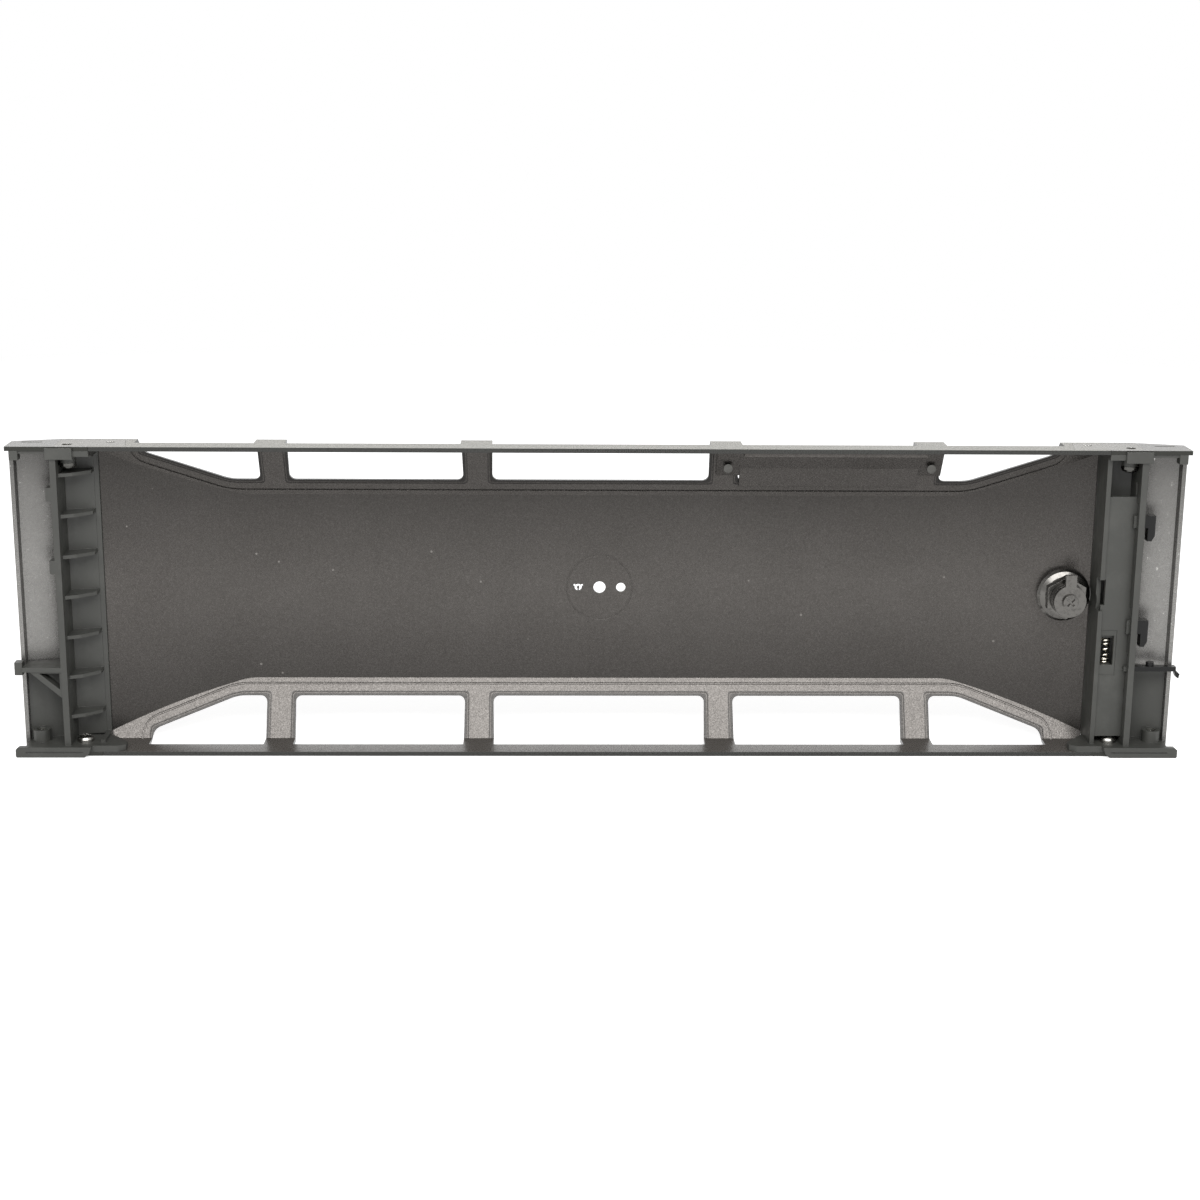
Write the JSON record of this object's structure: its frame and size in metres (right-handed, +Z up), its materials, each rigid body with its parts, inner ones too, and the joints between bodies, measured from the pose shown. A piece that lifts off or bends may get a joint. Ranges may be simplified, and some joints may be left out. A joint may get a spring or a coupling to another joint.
{
  "type": "server front bezel",
  "caption": "Wide vented front bezel for a rack server, with curved ends, a sprung latch slide, fixed hooks and a key lock.",
  "frame": {"origin": "under the middle of the bezel, at the height of its bottom edge", "axes": "+X to the right as seen from the front, +Y to the rear, +Z up"},
  "size_m": [0.4872, 0.035, 0.131],
  "materials": {
    "painted_plastic": "metallic paint",
    "painted_plastic_ends": "metallic paint",
    "bare_plastic": "satin",
    "bright_inlay": "metallic paint",
    "spring_wire": "drawn wire",
    "plated_steel": "plated",
    "lock_chrome": "chrome"
  },
  "bodies": {
    "bezel": {"centre_shell": "painted_plastic", "hook_end_cap": "painted_plastic_ends", "latch_end_cap": "painted_plastic_ends", "hook_bracket": "bare_plastic", "latch_bracket": "bare_plastic", "latch_spring": "spring_wire", "hook_top_inlay": "bright_inlay", "hook_bottom_inlay": "bright_inlay", "latch_top_inlay": "bright_inlay", "latch_bottom_inlay": "bright_inlay", "window_cover": "bare_plastic", "cover_pins": "plated_steel", "bracket_screws": "plated_steel", "boss_screws": "plated_steel", "lock_barrel": "lock_chrome", "lock_dish": "lock_chrome", "lock_nut": "lock_chrome", "lock_key_collar": "lock_chrome"},
    "latch": {"latch_slide": "bare_plastic"},
    "lock_rotor": {"lock_plug": "lock_chrome", "lock_cam": "lock_chrome", "cam_screw": "plated_steel"}
  },
  "joints": [
    {"name": "latch_lift", "type": "slide", "parent": "bezel", "child": "latch", "axis": [0, 0, 1], "range_m": [0, 0.005], "stiffness_N_per_m": 400, "springref_m": -0.004, "deforming": ["latch_spring"]},
    {"name": "lock_turn", "type": "hinge", "parent": "bezel", "child": "lock_rotor", "pos_m": [-0.1966, 0, 0.0655], "axis": [0, -1, 0], "range_deg": [0, 90]}
  ]
}
